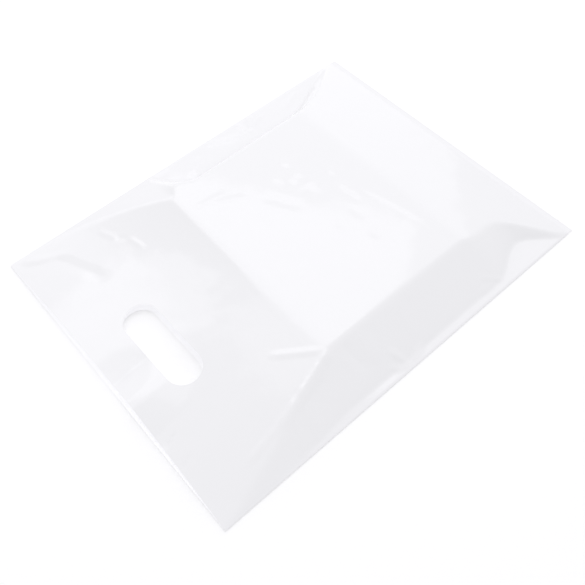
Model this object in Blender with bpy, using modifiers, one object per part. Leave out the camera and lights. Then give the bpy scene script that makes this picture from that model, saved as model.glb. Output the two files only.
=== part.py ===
# White plastic carrier bag with a die-cut hand hole, lying flat and propped open from inside.
# One piece of blown film: a tube pressed flat, sealed across its closed end and open at its mouth.
# Metres, +Z up. The lower layer lies on z = 0, the mouth faces -Y and the sealed end +Y.
# Across the bag, x runs from the left side fold to the right one; along it, y runs from the mouth.

import bpy
import bmesh
import math

# Film and outline
bag_width = 0.305
bag_length = 0.3885
film = 0.00008
fold_height = 0.0009
seal_width = 0.006

# Hand hole, punched through both layers
hole_length = 0.089
hole_width = 0.031
hole_from_mouth = 0.035
hole_off_centre = 0.005

# Room inside that the upper layer is stretched over
room_width = 0.207
room_length = 0.156
room_height = 0.020
room_from_mouth = 0.1425
room_from_left = 0.0475

# How the upper layer comes down from the room's edges
left_flange = 0.031
right_flange = 0.0075
right_corner_flat = 0.024
left_corner_shift = 0.006
right_rise = 0.45
front_curve_left = 3.0
front_curve_right = 1.15
ridge_round = 0.0007

# Mouth: how far the upper layer stands up, and how far it has been drawn back
gape = 0.0052
mouth_setback = 0.003
arch_height = 0.0042
arch_length = 0.062
arch_width = 0.056
arch_from_left = 0.162
arch_crest = 0.008
arch_drift = 0.075

# Spacing of the surface, and the height of the cutters
mesh_step = 0.010
ridge_step = 0.0016
fold_steps = 3
cutter_reach = 0.010

fold_radius = fold_height / 2
seal_line = bag_length - seal_width
room_right = room_from_left + room_width
room_back = room_from_mouth + room_length
back_run = seal_line - room_back
hole_centre_x = bag_width / 2 + hole_off_centre
hole_centre_y = hole_from_mouth + hole_width / 2


def clear_scene():
    for old in list(bpy.data.objects):
        bpy.data.objects.remove(old, do_unlink=True)


def new_collection(name):
    group = bpy.data.collections.new(name)
    bpy.context.scene.collection.children.link(group)
    return group


def ease(t):
    t = min(max(t, 0.0), 1.0)
    return t * t * (3 - 2 * t)


def follow(points, y):
    """Value at y of an eased line through a few (y, value) points."""
    if y <= points[0][0]:
        return points[0][1]
    for (y0, v0), (y1, v1) in zip(points, points[1:]):
        if y <= y1:
            return v0 + (v1 - v0) * ease((y - y0) / (y1 - y0))
    return points[-1][1]


def lower_of(a, b):
    """The lower of two heights, rounded where they meet."""
    h = max(ridge_round - abs(a - b), 0.0) / ridge_round
    return min(a, b) - h * h * ridge_round / 4


def front_height(x, y):
    """Slope from the room's front edge down to the open mouth."""
    across = 1 - abs(2 * x / bag_width - 1) ** 4
    lip = fold_height + (gape - fold_height) * across
    curve = front_curve_left + (front_curve_right - front_curve_left) * ease((x - room_from_left) / room_width)
    rise = (max(y, 0.0) / room_from_mouth) ** curve
    return lip + (room_height - lip) * rise


def back_height(y):
    """Slope from the room's back edge down to the seal."""
    return fold_height + (room_height - fold_height) * (seal_line - y) / back_run


def left_height(x, y):
    """Left side: a long facet beside the mouth, then a steep drop to a flange on the floor."""
    corner = room_from_left + left_corner_shift
    foot = follow([
        (room_from_mouth, 0.0),
        (room_from_mouth + left_flange, left_flange),
        (room_back, left_flange),
        (seal_line, 0.0),
    ], y)
    steep = room_height / (room_from_left - left_flange)
    rise = follow([
        (0.0, room_height / corner * 0.75),
        (room_from_mouth, room_height / corner),
        (room_from_mouth + left_flange, steep),
        (room_back, steep),
        (seal_line, room_height / corner),
    ], y)
    return fold_height + rise * (x - foot)


def right_height(x, y):
    """Right side: a slope down to a narrow flange, wider where it meets the sealed end."""
    foot = follow([
        (hole_from_mouth, bag_width),
        (room_from_mouth, bag_width - right_flange),
        (room_back, bag_width - right_flange),
        (room_back + back_run / 2, bag_width - right_corner_flat),
        (seal_line, bag_width),
    ], y)
    return fold_height + right_rise * (foot - x)


def arch_rise(x, y):
    """Arch in the film between the mouth and the hand hole."""
    fade = 1 - y / arch_length
    if fade <= 0:
        return 0.0
    start = arch_from_left - arch_drift * y
    crest = start + arch_width * 0.35
    end = start + arch_width
    if x < crest:
        side = (x - start) / (crest - start)
    else:
        side = (end - x) / (end - crest - arch_crest)
    return arch_height * ease(fade) * min(max(side, 0.0), 1.0)


def upper_height(x, y):
    """Height of the upper layer's outer face."""
    z = lower_of(front_height(x, y), room_height)
    z = lower_of(z, left_height(x, y))
    z = lower_of(z, right_height(x, y))
    z = lower_of(z, back_height(y))
    return max(z, fold_height) + arch_rise(x, y)


def stations(stops):
    """Places between the stops, no further apart than the mesh step."""
    stops = sorted(set(stops))
    places = [stops[0]]
    for start, end in zip(stops, stops[1:]):
        count = max(1, math.ceil((end - start) / mesh_step - 0.2))
        places += [start + (end - start) * k / count for k in range(1, count + 1)]
    return places


def upper_grid(bm):
    """Upper layer: a grid moved onto the draped height."""
    xs = stations([
        fold_radius,
        left_flange,
        room_from_left,
        room_from_left + left_corner_shift,
        room_right - ridge_step,
        room_right + ridge_step,
        bag_width - right_corner_flat,
        bag_width - right_flange,
        bag_width - fold_radius,
    ])
    ys = stations([
        0.0,
        room_from_mouth - ridge_step,
        room_from_mouth + ridge_step,
        room_from_mouth + left_flange,
        room_back - ridge_step,
        room_back + ridge_step,
        seal_line,
    ])
    columns = len(xs) - 1
    rows = len(ys) - 1
    bmesh.ops.create_grid(bm, x_segments=columns, y_segments=rows, size=1.0)
    edge_columns = (0, columns)
    for vert in bm.verts:
        i = round((vert.co.x + 1) / 2 * columns)
        j = round((vert.co.y + 1) / 2 * rows)
        x = xs[i]
        y = ys[j]
        z = upper_height(x, y)
        if i in edge_columns or j == rows:
            z = fold_height
        across = 1 - (2 * x / bag_width - 1) ** 2
        drawn = 0.0 if i in edge_columns else mouth_setback * across
        vert.co = (x, y + drawn * (1 - y / seal_line) ** 2, z)


def at_x(edges, x):
    near = fold_radius / 10
    return [e for e in edges if all(abs(v.co.x - x) < near for v in e.verts)]


def fold_over(bm, x, side):
    """Side fold: the upper layer's long edge carried round to the floor."""
    edges = at_x([e for e in bm.edges if e.is_boundary], x)
    for step in range(1, fold_steps + 1):
        made = bmesh.ops.extrude_edge_only(bm, edges=edges)["geom"]
        angle = math.pi * step / fold_steps
        for vert in (g for g in made if isinstance(g, bmesh.types.BMVert)):
            vert.co.x = x + side * fold_radius * math.sin(angle)
            vert.co.z = fold_radius + fold_radius * math.cos(angle)
        edges = [g for g in made if isinstance(g, bmesh.types.BMEdge)]


def vert_at(bm, x, y, z):
    return min(bm.verts, key=lambda v: (v.co.x - x) ** 2 + (v.co.y - y) ** 2 + (v.co.z - z) ** 2)


def lower_layer(bm):
    """Flat lower layer and the closing face at the seal line."""
    left = fold_radius
    right = bag_width - fold_radius
    mouth = bm.edges.new((vert_at(bm, left, 0, 0), vert_at(bm, right, 0, 0)))
    back = bm.edges.new((vert_at(bm, left, seal_line, 0), vert_at(bm, right, seal_line, 0)))
    near = fold_radius / 10
    flat = [e for e in bm.edges if e.is_boundary and all(abs(v.co.z) < near for v in e.verts)]
    floor_loop = set(flat) | {mouth, back}
    end_loop = {e for e in bm.edges if e.is_boundary and all(abs(v.co.y - seal_line) < near for v in e.verts)}
    bmesh.ops.contextual_create(bm, geom=list(floor_loop))
    bmesh.ops.contextual_create(bm, geom=list(end_loop | {back}))


def film_material():
    mat = bpy.data.materials.new("white_film")
    mat.use_nodes = True
    shader = mat.node_tree.nodes["Principled BSDF"]
    shader.inputs["Base Color"].default_value = (0.93, 0.93, 0.94, 1)
    shader.inputs["Roughness"].default_value = 0.22
    shader.inputs["Metallic"].default_value = 0.0
    return mat


def film_shell(group):
    """The tube of film as an open surface with the film's own thickness."""
    bm = bmesh.new()
    upper_grid(bm)
    fold_over(bm, fold_radius, -1)
    fold_over(bm, bag_width - fold_radius, 1)
    lower_layer(bm)
    bmesh.ops.recalc_face_normals(bm, faces=bm.faces)
    lowest = min(bm.faces, key=lambda f: f.calc_center_median().z)
    if lowest.normal.z > 0:
        bmesh.ops.reverse_faces(bm, faces=bm.faces)
    bmesh.ops.translate(bm, verts=bm.verts, vec=(-bag_width / 2, -bag_length / 2, 0))
    mesh = bpy.data.meshes.new("bag_film")
    bm.to_mesh(mesh)
    bm.free()
    mesh.materials.append(film_material())
    bag = bpy.data.objects.new("bag_film", mesh)
    group.objects.link(bag)
    wall = bag.modifiers.new("film_thickness", "SOLIDIFY")
    wall.thickness = film
    wall.offset = -1
    wall.use_even_offset = True
    return bag


def helper(name, bm, group):
    mesh = bpy.data.meshes.new(name)
    bm.to_mesh(mesh)
    bm.free()
    obj = bpy.data.objects.new(name, mesh)
    obj.display_type = "WIRE"
    obj.hide_render = True
    group.objects.link(obj)
    return obj


def seal_strip(group):
    """Both layers welded together, flat on the floor behind the seal line."""
    bm = bmesh.new()
    bmesh.ops.create_cube(bm, size=1.0)
    overlap = film / 2
    length = seal_width + overlap
    bmesh.ops.scale(bm, verts=bm.verts, vec=(bag_width, length, 2 * film))
    bmesh.ops.translate(bm, verts=bm.verts, vec=(0, bag_length / 2 - length / 2, film))
    return helper("seal_strip", bm, group)


def hole_cutter(name, low, high, drawn, group):
    """Hand hole: a slot with round ends, through one layer."""
    bm = bmesh.new()
    bmesh.ops.create_cube(bm, size=1.0)
    bmesh.ops.scale(bm, verts=bm.verts, vec=(hole_length, hole_width, high - low))
    uprights = [e for e in bm.edges if abs(e.verts[0].co.z - e.verts[1].co.z) > film]
    bmesh.ops.bevel(bm, geom=uprights, offset=hole_width * 0.499, segments=10, profile=0.5, affect="EDGES")
    place = (hole_centre_x - bag_width / 2, hole_centre_y + drawn - bag_length / 2, (low + high) / 2)
    bmesh.ops.translate(bm, verts=bm.verts, vec=place)
    return helper(name, bm, group)


def combine(bag, other, operation):
    step = bag.modifiers.new(other.name, "BOOLEAN")
    step.operation = operation
    step.solver = "EXACT"
    step.object = other


def build():
    clear_scene()
    parts = new_collection("carrier_bag")
    cutters = new_collection("cutters")
    bag = film_shell(parts)
    between = fold_height + film
    drawn = mouth_setback * (1 - hole_centre_y / seal_line) ** 2
    combine(bag, seal_strip(cutters), "UNION")
    combine(bag, hole_cutter("lower_hole", -cutter_reach, between, 0.0, cutters), "DIFFERENCE")
    top = room_height + arch_height + cutter_reach
    combine(bag, hole_cutter("upper_hole", between, top, drawn, cutters), "DIFFERENCE")


build()
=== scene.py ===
import bpy
import bmesh
import math
from mathutils import Matrix, Vector, noise


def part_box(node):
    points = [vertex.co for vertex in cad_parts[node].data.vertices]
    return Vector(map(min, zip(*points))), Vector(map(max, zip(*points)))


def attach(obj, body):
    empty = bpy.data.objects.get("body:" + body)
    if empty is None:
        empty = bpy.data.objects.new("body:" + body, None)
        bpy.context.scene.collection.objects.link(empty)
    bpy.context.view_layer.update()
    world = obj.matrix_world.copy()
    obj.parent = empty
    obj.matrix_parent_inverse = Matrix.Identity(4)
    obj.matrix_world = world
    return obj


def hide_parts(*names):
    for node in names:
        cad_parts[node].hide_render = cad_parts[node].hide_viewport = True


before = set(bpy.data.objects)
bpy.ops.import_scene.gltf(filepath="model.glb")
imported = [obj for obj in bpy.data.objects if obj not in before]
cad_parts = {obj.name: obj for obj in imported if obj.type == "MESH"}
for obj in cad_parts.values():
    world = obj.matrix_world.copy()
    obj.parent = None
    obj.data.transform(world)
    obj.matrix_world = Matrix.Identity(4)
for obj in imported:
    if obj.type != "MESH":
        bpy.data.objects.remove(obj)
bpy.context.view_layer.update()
lowCorner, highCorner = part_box("bag_film")
print("frame loaded")


# wraps a socket, so that shader maths reads as plain sums
class Field:
    def __init__(self, tree, socket=None):
        self.tree = tree
        self.socket = socket

    def node(self, kind, settings=None, inputs=None, output=0):
        made = self.tree.nodes.new(kind)
        for name, value in (settings or {}).items():
            setattr(made, name, value)
        for name, value in (inputs or {}).items():
            if isinstance(value, Field):
                self.tree.links.new(value.socket, made.inputs[name])
            else:
                made.inputs[name].default_value = value
        return Field(self.tree, made.outputs[output])

    def maths(self, operation, first, second):
        return self.node("ShaderNodeMath", {"operation": operation}, {0: first, 1: second})

    def __add__(self, other):
        return self.maths("ADD", self, other)

    def __radd__(self, other):
        return self.maths("ADD", other, self)

    def __mul__(self, other):
        return self.maths("MULTIPLY", self, other)

    def __rmul__(self, other):
        return self.maths("MULTIPLY", other, self)


# film bag: x runs from the left fold and y from the mouth, and the outline and height are the frame's
bag = {
    "width": highCorner.x - lowCorner.x,
    "length": highCorner.y - lowCorner.y,
    "film": 0.00008,
    "fold": 0.0009,          # height of the side folds
    "foldSteps": 4,
    "seal": 0.006,           # flat strip at the closed end
    "step": 0.0019,          # spacing of the surface
    "ridge": 0.0012,         # rounding where two slopes meet
    "sharpAngle": 38,
    # hand hole
    "holeLength": 0.089,
    "holeWidth": 0.031,
    "holeX": 0.1575,
    "holeY": 0.0505,
    "holeRound": 0.499,      # share of the width taken by each round corner
    "holeSegments": 16,
    "cutReach": 0.01,
    # room that the upper layer is stretched over
    "roomX": 0.0475,
    "roomY": 0.1425,
    "roomWidth": 0.207,
    "roomLength": 0.156,
    "roomHeight": highCorner.z - lowCorner.z,
    # slopes down from the room
    "curveLeft": 3.0,
    "curveRight": 1.15,
    "leftFlange": 0.031,
    "leftShift": 0.006,
    "leftMouthRise": 0.75,   # share of the left slope that is left at the mouth
    "rightFlange": 0.0075,
    "rightCorner": 0.024,
    "rightRise": 0.45,
    # mouth, and the arch between it and the hand hole
    "gape": 0.0052,
    "setback": 0.003,
    "archHeight": 0.0042,
    "archLength": 0.062,
    "archWidth": 0.056,
    "archX": 0.162,
    "archLean": 0.35,
    "archCrest": 0.008,
    "archDrift": 0.075,
    # slack in the film
    "broadSlack": 0.00028,
    "broadScale": (22, 17),
    "smallSlack": 0.00009,
    "smallScale": (70, 55),
    "slackOnTop": 0.45,
    "topFrom": 0.0185,
    "stillEdge": 0.006,      # no creases this near the folds and the seal
    "thinnest": 0.8,         # share of the fold height that the layers keep between them
    "creaseEnd": 4,          # a crease fades over a quarter of its length
    "dentReach": 6,
}
radius = bag["fold"] / 2
sealY = bag["length"] - bag["seal"]
roomRight = bag["roomX"] + bag["roomWidth"]
roomBack = bag["roomY"] + bag["roomLength"]
millimetre = 0.001
near = 0.01 * millimetre

# start, end, lift, reach to the left and right of the line, all in millimetres
creases = [
    # along the ridge from the room's near right corner to the mouth
    ((256, 143), (262, 122), 0.9, 6, 3),
    ((261, 130), (268, 100), 1.1, 8, 4),
    ((266, 108), (275, 72), 1.0, 7, 4),
    ((273, 82), (280, 36), 0.7, 5, 3),
    ((254, 140), (226, 104), 0.6, 4, 4),
    # star on the right flange
    ((301, 189), (282, 182), 0.9, 4, 4),
    ((302, 190), (294, 172), 0.8, 3, 3),
    ((301, 190), (295, 210), 0.8, 3, 4),
    # star on the left flange
    ((18, 255), (0, 252), 0.8, 3, 3),
    ((18, 256), (1, 264), -0.6, 3, 3),
    ((18, 256), (1, 273), 0.9, 3, 3),
    ((18, 257), (7, 282), 0.8, 3, 3),
    ((19, 249), (3, 212), 0.9, 4, 5),
    ((10, 200), (26, 178), 0.7, 4, 4),
    ((20, 300), (6, 330), 0.6, 4, 4),
    # rays on the top, from its near left corner
    ((72, 146), (77, 181), 0.25, 2, 4),
    ((79, 162), (94, 193), 0.25, 4, 2),
    # left corner of the mouth
    ((18, 30), (76, 54), -0.5, 9, 8),
    ((26, 77), (46, 84), 0.25, 3, 3),
    ((44, 82), (52, 92), -0.3, 3, 3),
    ((50, 91), (72, 95), 0.25, 3, 3),
    ((6, 8), (30, 50), 0.5, 6, 6),
    # right corner of the sealed end
    ((296, 276), (296, 298), 0.5, 3, 3),
    ((285, 286), (299, 305), 0.5, 3, 3),
    # nicks at the mouth
    ((231, 0), (224, 16), -0.5, 2, 2),
    ((251, 1), (246, 14), -0.4, 2, 2),
    # right slope
    ((262, 108), (300, 92), 0.4, 5, 4),
    ((264, 96), (301, 76), 0.35, 4, 4),
    ((256, 153), (286, 158), -0.6, 8, 7),
    ((256, 172), (288, 168), 0.4, 7, 6),
    ((256, 214), (292, 206), 0.3, 8, 7),
    # shallow waves across the top
    ((102, 200), (140, 222), -0.15, 9, 6),
    ((117, 224), (121, 268), 0.15, 4, 7),
    ((140, 273), (250, 296), 0.15, 9, 5),
]
# centre, reach across and along, lift, all in millimetres
dents = [
    (130, 239, 8, 6, -0.22), (173, 253, 9, 5, -0.2), (173, 233, 6, 5, -0.18), (126, 184, 9, 6, -0.15),
    (221, 249, 10, 6, -0.18), (90, 170, 16, 12, 0.12), (200, 190, 30, 22, -0.12), (150, 160, 30, 10, 0.1),
    (88, 245, 5, 4, 0.35), (105, 245, 4, 4, 0.35), (98, 227, 4, 3, 0.3), (123, 269, 5, 3, 0.35),
    (146, 266, 8, 3, 0.35), (158, 261, 7, 3, -0.35), (200, 248, 6, 4, -0.3), (112, 232, 5, 3, -0.3),
]


def ease(t):
    t = min(max(t, 0.0), 1.0)
    return t * t * (3 - 2 * t)


# value at y of an eased line through a few points
def follow(points, y):
    if y <= points[0][0]:
        return points[0][1]
    for (y0, v0), (y1, v1) in zip(points, points[1:]):
        if y <= y1:
            return v0 + (v1 - v0) * ease((y - y0) / (y1 - y0))
    return points[-1][1]


def lowerOf(a, b):
    h = max(bag["ridge"] - abs(a - b), 0.0) / bag["ridge"]
    return min(a, b) - h * h * bag["ridge"] / 4


def frontHeight(x, y):
    across = 1 - abs(2 * x / bag["width"] - 1) ** 4
    lip = bag["fold"] + (bag["gape"] - bag["fold"]) * across
    share = ease((x - bag["roomX"]) / bag["roomWidth"])
    curve = bag["curveLeft"] + (bag["curveRight"] - bag["curveLeft"]) * share
    return lip + (bag["roomHeight"] - lip) * (max(y, 0.0) / bag["roomY"]) ** curve


def backHeight(y):
    return bag["fold"] + (bag["roomHeight"] - bag["fold"]) * (sealY - y) / (sealY - roomBack)


def leftHeight(x, y):
    gentle = bag["roomHeight"] / (bag["roomX"] + bag["leftShift"])
    steep = bag["roomHeight"] / (bag["roomX"] - bag["leftFlange"])
    bend = bag["roomY"] + bag["leftFlange"]
    foot = follow([
        (bag["roomY"], 0), (bend, bag["leftFlange"]), (roomBack, bag["leftFlange"]), (sealY, 0),
    ], y)
    rise = follow([
        (0, gentle * bag["leftMouthRise"]), (bag["roomY"], gentle), (bend, steep), (roomBack, steep),
        (sealY, gentle),
    ], y)
    return bag["fold"] + rise * (x - foot)


def rightHeight(x, y):
    edge = bag["width"] - bag["rightFlange"]
    corner = bag["width"] - bag["rightCorner"]
    holeStart = bag["holeY"] - bag["holeWidth"] / 2
    foot = follow([
        (holeStart, bag["width"]), (bag["roomY"], edge), (roomBack, edge), ((roomBack + sealY) / 2, corner),
        (sealY, bag["width"]),
    ], y)
    return bag["fold"] + bag["rightRise"] * (foot - x)


def archRise(x, y):
    fade = 1 - y / bag["archLength"]
    if fade <= 0:
        return 0.0
    start = bag["archX"] - bag["archDrift"] * y
    crest = start + bag["archWidth"] * bag["archLean"]
    end = start + bag["archWidth"]
    side = (x - start) / (crest - start) if x < crest else (end - x) / (end - crest - bag["archCrest"])
    return bag["archHeight"] * ease(fade) * min(max(side, 0.0), 1.0)


def creaseRise(x, y):
    x, y = x / millimetre, y / millimetre
    total = 0.0
    for (x0, y0), (x1, y1), lift, left, right in creases:
        px, py = x - x0, y - y0
        dx, dy = x1 - x0, y1 - y0
        long = math.hypot(dx, dy)
        along = (px * dx + py * dy) / (long * long)
        if not 0 < along < 1:
            continue
        off = (px * dy - py * dx) / long
        body = 1 - abs(off) / (right if off > 0 else left)
        if body > 0:
            total += lift * body * min(1.0, bag["creaseEnd"] * along, bag["creaseEnd"] * (1 - along))
    for cx, cy, rx, ry, lift in dents:
        far = ((x - cx) / rx) ** 2 + ((y - cy) / ry) ** 2
        if far < bag["dentReach"]:
            total += lift * math.exp(-far)
    return total * millimetre


# the stretched top is smoother than the slopes
def slackRise(x, y, z):
    across, along = bag["broadScale"]
    broad = noise.noise(Vector((x * across + 3, y * along, 1.3)))
    across, along = bag["smallScale"]
    small = noise.noise(Vector((x * across, y * along, 7.1)))
    loose = 1.0 if z < bag["topFrom"] else bag["slackOnTop"]
    return (bag["broadSlack"] * broad + bag["smallSlack"] * small) * loose


def upperHeight(x, y):
    z = lowerOf(frontHeight(x, y), bag["roomHeight"])
    z = lowerOf(z, leftHeight(x, y))
    z = lowerOf(z, rightHeight(x, y))
    z = lowerOf(z, backHeight(y))
    z = max(z, bag["fold"]) + archRise(x, y)
    inside = min(x - radius, bag["width"] - radius - x, sealY - y)
    free = ease(inside / bag["stillEdge"])
    return max(z + (creaseRise(x, y) + slackRise(x, y, z)) * free, bag["fold"] * bag["thinnest"])


def spread(stops):
    places = [stops[0]]
    for start, end in zip(stops, stops[1:]):
        count = max(1, round((end - start) / bag["step"]))
        places += [start + (end - start) * k / count for k in range(1, count + 1)]
    return places


# a flat grid moved onto the draped height, with its mouth edge drawn back
def upperGrid(bm):
    right = bag["width"] - bag["rightFlange"]
    xs = spread([radius, bag["leftFlange"], bag["roomX"], roomRight, right, bag["width"] - radius])
    ys = spread([0, bag["roomY"], roomBack, sealY])
    columns, rows = len(xs) - 1, len(ys) - 1
    bmesh.ops.create_grid(bm, x_segments=columns, y_segments=rows, size=1)
    for v in bm.verts:
        i = round((v.co.x + 1) / 2 * columns)
        j = round((v.co.y + 1) / 2 * rows)
        x, y = xs[i], ys[j]
        atEdge = i in (0, columns)
        z = bag["fold"] if atEdge or j == rows else upperHeight(x, y)
        drawn = 0 if atEdge else bag["setback"] * (1 - (2 * x / bag["width"] - 1) ** 2)
        v.co = (x, y + drawn * (1 - y / sealY) ** 2, z)


def foldOver(bm, x, side):
    edges = [e for e in bm.edges if e.is_boundary and all(abs(v.co.x - x) < near for v in e.verts)]
    for k in range(1, bag["foldSteps"] + 1):
        made = bmesh.ops.extrude_edge_only(bm, edges=edges)["geom"]
        turn = math.pi * k / bag["foldSteps"]
        for v in (g for g in made if isinstance(g, bmesh.types.BMVert)):
            v.co.x = x + side * radius * math.sin(turn)
            v.co.z = radius + radius * math.cos(turn)
        edges = [g for g in made if isinstance(g, bmesh.types.BMEdge)]


def floorVert(bm, x, y):
    return min(bm.verts, key=lambda v: (v.co - Vector((x, y, 0))).length_squared)


# lower layer on the floor, and the closing face at the seal
def closeBelow(bm):
    left, right = radius, bag["width"] - radius
    mouth = bm.edges.new((floorVert(bm, left, 0), floorVert(bm, right, 0)))
    back = bm.edges.new((floorVert(bm, left, sealY), floorVert(bm, right, sealY)))
    rim = [e for e in bm.edges if e.is_boundary]
    low = {e for e in rim if all(abs(v.co.z) < near for v in e.verts)}
    end = {e for e in rim if all(abs(v.co.y - sealY) < near for v in e.verts)}
    bmesh.ops.contextual_create(bm, geom=list(low | {mouth, back}))
    bmesh.ops.contextual_create(bm, geom=list(end | {back}))


def newObject(name, bm):
    mesh = bpy.data.meshes.new(name)
    bm.to_mesh(mesh)
    bm.free()
    obj = bpy.data.objects.new(name, mesh)
    bpy.context.scene.collection.objects.link(obj)
    return obj


def boxAt(name, size, place, roundEnds=False):
    bm = bmesh.new()
    bmesh.ops.create_cube(bm, size=1)
    bmesh.ops.scale(bm, verts=bm.verts, vec=size)
    if roundEnds:
        uprights = [e for e in bm.edges if abs(e.verts[0].co.z - e.verts[1].co.z) > near]
        bmesh.ops.bevel(bm, geom=uprights, offset=size[1] * bag["holeRound"], segments=bag["holeSegments"],
                        profile=0.5, affect="EDGES")
    bmesh.ops.translate(bm, verts=bm.verts, vec=place)
    return newObject(name, bm)


def makeFilm():
    bm = bmesh.new()
    upperGrid(bm)
    foldOver(bm, radius, -1)
    foldOver(bm, bag["width"] - radius, 1)
    closeBelow(bm)
    bmesh.ops.recalc_face_normals(bm, faces=bm.faces)
    if min(bm.faces, key=lambda f: f.calc_center_median().z).normal.z > 0:
        bmesh.ops.reverse_faces(bm, faces=bm.faces)
    bmesh.ops.translate(bm, verts=bm.verts, vec=(-bag["width"] / 2, -bag["length"] / 2, 0))
    return newObject("carrier_bag", bm)


# gives the film its thickness, welds the seal strip and punches the hand hole through both layers
def cutFilm(obj):
    wall = obj.modifiers.new("wall", "SOLIDIFY")
    wall.thickness = bag["film"]
    wall.offset = -1
    wall.material_offset = 1
    sealLength = bag["seal"] + bag["film"] / 2
    seal = boxAt("seal_strip", (bag["width"], sealLength, 2 * bag["film"]),
                 (0, bag["length"] / 2 - sealLength / 2, bag["film"]))
    between = bag["fold"] + bag["film"]
    reach = bag["cutReach"]
    upperReach = 3 * reach
    drawn = bag["setback"] * (1 - bag["holeY"] / sealY) ** 2
    holeX, holeY = bag["holeX"] - bag["width"] / 2, bag["holeY"] - bag["length"] / 2
    low = boxAt("lower_hole", (bag["holeLength"], bag["holeWidth"], reach + between),
                (holeX, holeY, (between - reach) / 2), True)
    high = boxAt("upper_hole", (bag["holeLength"], bag["holeWidth"], upperReach),
                 (holeX, holeY + drawn, between + upperReach / 2), True)
    for other, operation in ((seal, "UNION"), (low, "DIFFERENCE"), (high, "DIFFERENCE")):
        step = obj.modifiers.new(other.name, "BOOLEAN")
        step.operation = operation
        step.solver = "EXACT"
        step.object = other
    depsgraph = bpy.context.evaluated_depsgraph_get()
    done = bpy.data.meshes.new_from_object(obj.evaluated_get(depsgraph))
    obj.modifiers.clear()
    obj.data = done
    for other in (seal, low, high):
        bpy.data.objects.remove(other, do_unlink=True)
    for face in done.polygons:
        face.use_smooth = True
    done.set_sharp_from_angle(angle=math.radians(bag["sharpAngle"]))


filmFinish = {
    "colour": (0.93, 0.93, 0.94, 1),
    "ior": 1.5,
    "smoothest": 0.05, "cloudRoughness": 0.07, "cloudScale": 14,
    "fineScale": 160, "fineStrength": 0.25, "fineDepth": 0.00015,
    "glowColour": (0.983, 0.98, 1, 1),
    "paintedInsideGlow": 0.17,      # painted glow, standing in for daylight that comes through the film
}


def filmMaterial(name, glow):
    mat = bpy.data.materials.new(name)
    mat.use_nodes = True
    tree = mat.node_tree
    shader = tree.nodes["Principled BSDF"]
    shader.inputs["Base Color"].default_value = filmFinish["colour"]
    shader.inputs["IOR"].default_value = filmFinish["ior"]
    shader.inputs["Emission Color"].default_value = filmFinish["glowColour"]
    shader.inputs["Emission Strength"].default_value = glow
    start = Field(tree)
    place = start.node("ShaderNodeTexCoord", output="Object")
    cloud = start.node("ShaderNodeTexNoise", None,
                       {"Vector": place, "Scale": filmFinish["cloudScale"], "Detail": 2})
    roughness = filmFinish["smoothest"] + filmFinish["cloudRoughness"] * cloud
    tree.links.new(roughness.socket, shader.inputs["Roughness"])
    fine = start.node("ShaderNodeTexNoise", None,
                      {"Vector": place, "Scale": filmFinish["fineScale"], "Detail": 3})
    relief = start.node("ShaderNodeBump", None, {
        "Height": fine, "Strength": filmFinish["fineStrength"], "Distance": filmFinish["fineDepth"],
    })
    tree.links.new(relief.socket, shader.inputs["Normal"])
    return mat


film = makeFilm()
film.data.materials.append(filmMaterial("white_film", 0))
# the inner faces of the film get a painted glow, standing in for daylight that comes through it
film.data.materials.append(filmMaterial("white_film_inside_painted_glow", filmFinish["paintedInsideGlow"]))
cutFilm(film)
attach(film, "root")
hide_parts("bag_film")
print("film bag made,", len(film.data.polygons), "faces")


studio = {
    "floorSize": 6,
    "floorColour": (0.97, 0.97, 0.97, 1),
    "floorRoughness": 0.9,
    "floorGlow": 0.09,
    "floorDrop": 0.0003,     # gap under the lower layer
    "lightColour": (0.983, 0.98, 1),
    "skyStrength": 0.82,
    "backdrop": 1.03,        # sky as the camera sees it
    # camera, with its angles in degrees
    "focal": 43.912,
    "sensor": 36,
    "cameraPlace": (0.28975, -0.22862, 0.50780),
    "azimuth": 51.9456,
    "elevation": 57.5512,
    "roll": -3.6997,
}
# direction the light comes from, line its width follows, distance, width and depth, watts
lamps = {
    "far_side": ((-0.60, 0.48, 0.64), (0, 1, 0), 2.6, 3.0, 3.0, 16.5),
    "overhead": ((-0.57, 0.27, 1.0), (0.8, 0.6, 0), 1.6, 1.08, 0.60, 1.9),
}


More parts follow.
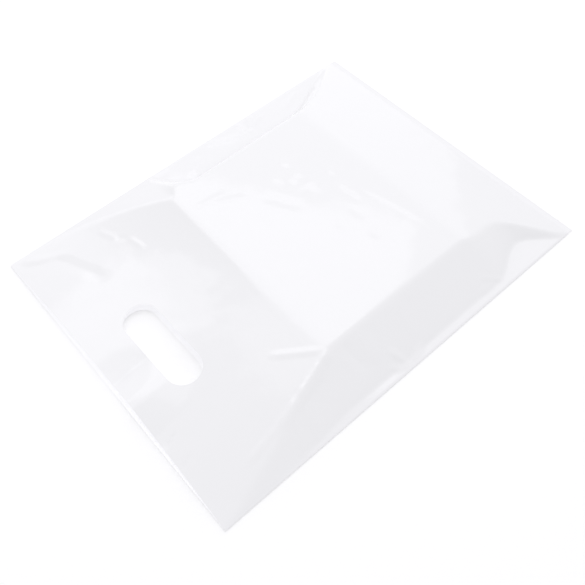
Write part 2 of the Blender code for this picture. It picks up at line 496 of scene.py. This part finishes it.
def makeFloor():
    bm = bmesh.new()
    bmesh.ops.create_grid(bm, x_segments=4, y_segments=4, size=studio["floorSize"] / 2)
    floor = newObject("floor", bm)
    floor.location.z = -studio["floorDrop"]
    mat = bpy.data.materials.new("floor_white")
    mat.use_nodes = True
    shader = mat.node_tree.nodes["Principled BSDF"]
    shader.inputs["Base Color"].default_value = studio["floorColour"]
    shader.inputs["Roughness"].default_value = studio["floorRoughness"]
    shader.inputs["Emission Color"].default_value = (1, 1, 1, 1)
    shader.inputs["Emission Strength"].default_value = studio["floorGlow"]
    floor.data.materials.append(mat)


def makeSky():
    world = bpy.data.worlds.new("studio")
    world.use_nodes = True
    bpy.context.scene.world = world
    sky = world.node_tree.nodes["Background"]
    sky.inputs["Color"].default_value = (*studio["lightColour"], 1)
    seen = Field(world.node_tree).node("ShaderNodeLightPath", output="Is Camera Ray")
    strength = studio["skyStrength"] + seen * (studio["backdrop"] - studio["skyStrength"])
    world.node_tree.links.new(strength.socket, sky.inputs["Strength"])


def makeLamp(name, way, line, distance, width, depth, watts):
    data = bpy.data.lights.new(name, "AREA")
    data.shape = "RECTANGLE"
    data.size = width
    data.size_y = depth
    data.energy = watts
    data.color = studio["lightColour"]
    lamp = bpy.data.objects.new(name, data)
    away = Vector(way).normalized()
    side = (Vector(line) - away * away.dot(Vector(line))).normalized()
    turned = Matrix((side, away.cross(side), away)).transposed().to_4x4()
    lamp.matrix_world = Matrix.Translation(away * distance) @ turned
    bpy.context.scene.collection.objects.link(lamp)


def makeCamera():
    az, el, roll = (math.radians(studio[k]) for k in ("azimuth", "elevation", "roll"))
    back = Vector((math.sin(az) * math.cos(el), -math.cos(az) * math.cos(el), math.sin(el)))
    level = Vector((math.cos(az), math.sin(az), 0))
    upright = back.cross(level)
    right = math.cos(roll) * level + math.sin(roll) * upright
    up = math.cos(roll) * upright - math.sin(roll) * level
    data = bpy.data.cameras.new("camera")
    data.sensor_width = studio["sensor"]
    data.lens = studio["focal"]
    camera = bpy.data.objects.new("camera", data)
    turned = Matrix((right, up, back)).transposed().to_4x4()
    camera.matrix_world = Matrix.Translation(studio["cameraPlace"]) @ turned
    bpy.context.scene.collection.objects.link(camera)
    bpy.context.scene.camera = camera


makeFloor()
makeSky()
for lampName, lampFacts in lamps.items():
    makeLamp(lampName, *lampFacts)
makeCamera()
bpy.context.scene.view_settings.view_transform = "Standard"
print("floor, light and camera set")
